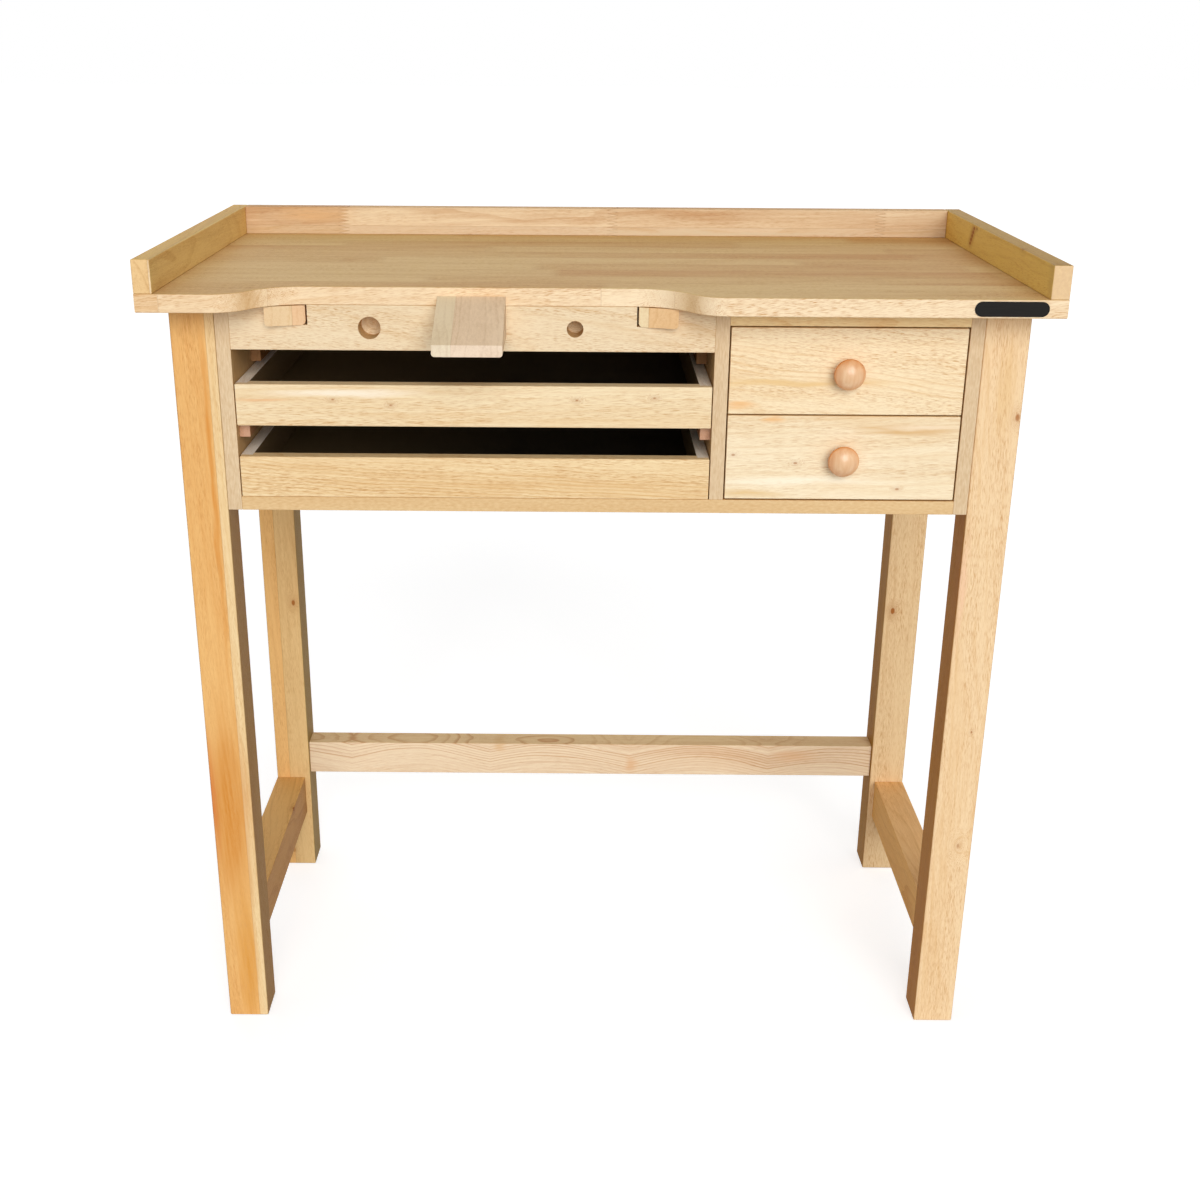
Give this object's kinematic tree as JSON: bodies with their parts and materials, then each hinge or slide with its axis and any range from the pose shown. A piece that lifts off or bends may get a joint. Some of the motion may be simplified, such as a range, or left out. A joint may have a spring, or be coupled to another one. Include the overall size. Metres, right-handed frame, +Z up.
{
  "type": "jewelers bench",
  "caption": "Hardwood jewelers bench on stretchered legs with a cut-out lipped top, bench pin, pull-out armrests, mandrel holes, sliding catch trays and drawers.",
  "frame": {"origin": "on the floor, in the middle of the overall width and of the overall depth from the tip of the bench pin to the back of the top", "axes": "+Z up, +Y from the sitter at the front towards the back, +X to the right of the sitter; the bench is shallowest along Y"},
  "size_m": [0.99, 0.544, 0.99],
  "materials": {
    "lacquered_rubberwood": "clear satin lacquer on laminated rubberwood",
    "panel_board": "clear satin lacquer on fine-grained board",
    "bare_beech": "bare sanded wood",
    "plywood": "thin plywood, sanded",
    "turned_knob": "turned hardwood, clear gloss lacquer",
    "beech_dowel": "bare dowel rod",
    "tray_lining": "black enamelled sheet steel",
    "zinc_steel": "bright zinc plating",
    "blank_plate": "satin black enamel, blank"
  },
  "bodies": {
    "bench": {"bench_top": "lacquered_rubberwood", "left_lip": "lacquered_rubberwood", "right_lip": "lacquered_rubberwood", "back_lip": "lacquered_rubberwood", "front_left_leg": "lacquered_rubberwood", "front_right_leg": "lacquered_rubberwood", "rear_left_leg": "lacquered_rubberwood", "rear_right_leg": "lacquered_rubberwood", "left_side_stretcher": "lacquered_rubberwood", "right_side_stretcher": "lacquered_rubberwood", "rear_stretcher": "lacquered_rubberwood", "front_apron": "lacquered_rubberwood", "drawer_rail": "lacquered_rubberwood", "rear_rail": "lacquered_rubberwood", "armrest_guide_rail": "lacquered_rubberwood", "tray_runners": "lacquered_rubberwood", "tray_kickers": "lacquered_rubberwood", "drawer_runners": "lacquered_rubberwood", "cabinet_left_panel": "panel_board", "cabinet_right_panel": "panel_board", "cabinet_divider": "panel_board", "cabinet_floor": "panel_board", "cabinet_back": "plywood", "dowels": "beech_dowel", "wood_screws": "zinc_steel", "carcass_screws": "zinc_steel", "small_screws": "zinc_steel", "connector_bolts": "zinc_steel", "leg_inserts": "zinc_steel", "barrel_nuts": "zinc_steel", "blank_name_plate": "blank_plate"},
    "left_armrest": {"left_armrest": "lacquered_rubberwood", "left_armrest_peg": "beech_dowel"},
    "right_armrest": {"right_armrest": "lacquered_rubberwood", "right_armrest_peg": "beech_dowel"},
    "bench_pin": {"bench_pin": "bare_beech"},
    "upper_tray": {"upper_tray_front": "lacquered_rubberwood", "upper_tray_left_side": "lacquered_rubberwood", "upper_tray_right_side": "lacquered_rubberwood", "upper_tray_back": "lacquered_rubberwood", "upper_tray_floor": "tray_lining"},
    "lower_tray": {"lower_tray_front": "lacquered_rubberwood", "lower_tray_left_side": "lacquered_rubberwood", "lower_tray_right_side": "lacquered_rubberwood", "lower_tray_back": "lacquered_rubberwood", "lower_tray_floor": "tray_lining"},
    "upper_drawer": {"upper_drawer_front": "lacquered_rubberwood", "upper_drawer_left_side": "lacquered_rubberwood", "upper_drawer_right_side": "lacquered_rubberwood", "upper_drawer_back": "lacquered_rubberwood", "upper_drawer_floor": "plywood", "upper_drawer_knob": "turned_knob", "upper_drawer_knob_screw": "zinc_steel"},
    "lower_drawer": {"lower_drawer_front": "lacquered_rubberwood", "lower_drawer_left_side": "lacquered_rubberwood", "lower_drawer_right_side": "lacquered_rubberwood", "lower_drawer_back": "lacquered_rubberwood", "lower_drawer_floor": "plywood", "lower_drawer_knob": "turned_knob", "lower_drawer_knob_screw": "zinc_steel"}
  },
  "joints": [
    {"name": "upper_tray_slide", "type": "slide", "parent": "bench", "child": "upper_tray", "axis": [0, -1, 0], "range_m": [0, 0.3]},
    {"name": "lower_tray_slide", "type": "slide", "parent": "bench", "child": "lower_tray", "axis": [0, -1, 0], "range_m": [0, 0.3]},
    {"name": "upper_drawer_slide", "type": "slide", "parent": "bench", "child": "upper_drawer", "axis": [0, -1, 0], "range_m": [0, 0.29]},
    {"name": "lower_drawer_slide", "type": "slide", "parent": "bench", "child": "lower_drawer", "axis": [0, -1, 0], "range_m": [0, 0.29]},
    {"name": "left_armrest_slide", "type": "slide", "parent": "bench", "child": "left_armrest", "axis": [0, -1, 0], "range_m": [0, 0.15]},
    {"name": "right_armrest_slide", "type": "slide", "parent": "bench", "child": "right_armrest", "axis": [0, -1, 0], "range_m": [0, 0.15]},
    {"name": "bench_pin_slide", "type": "slide", "parent": "bench", "child": "bench_pin", "axis": [0, -1, 0], "range_m": [0, 0.038]}
  ]
}
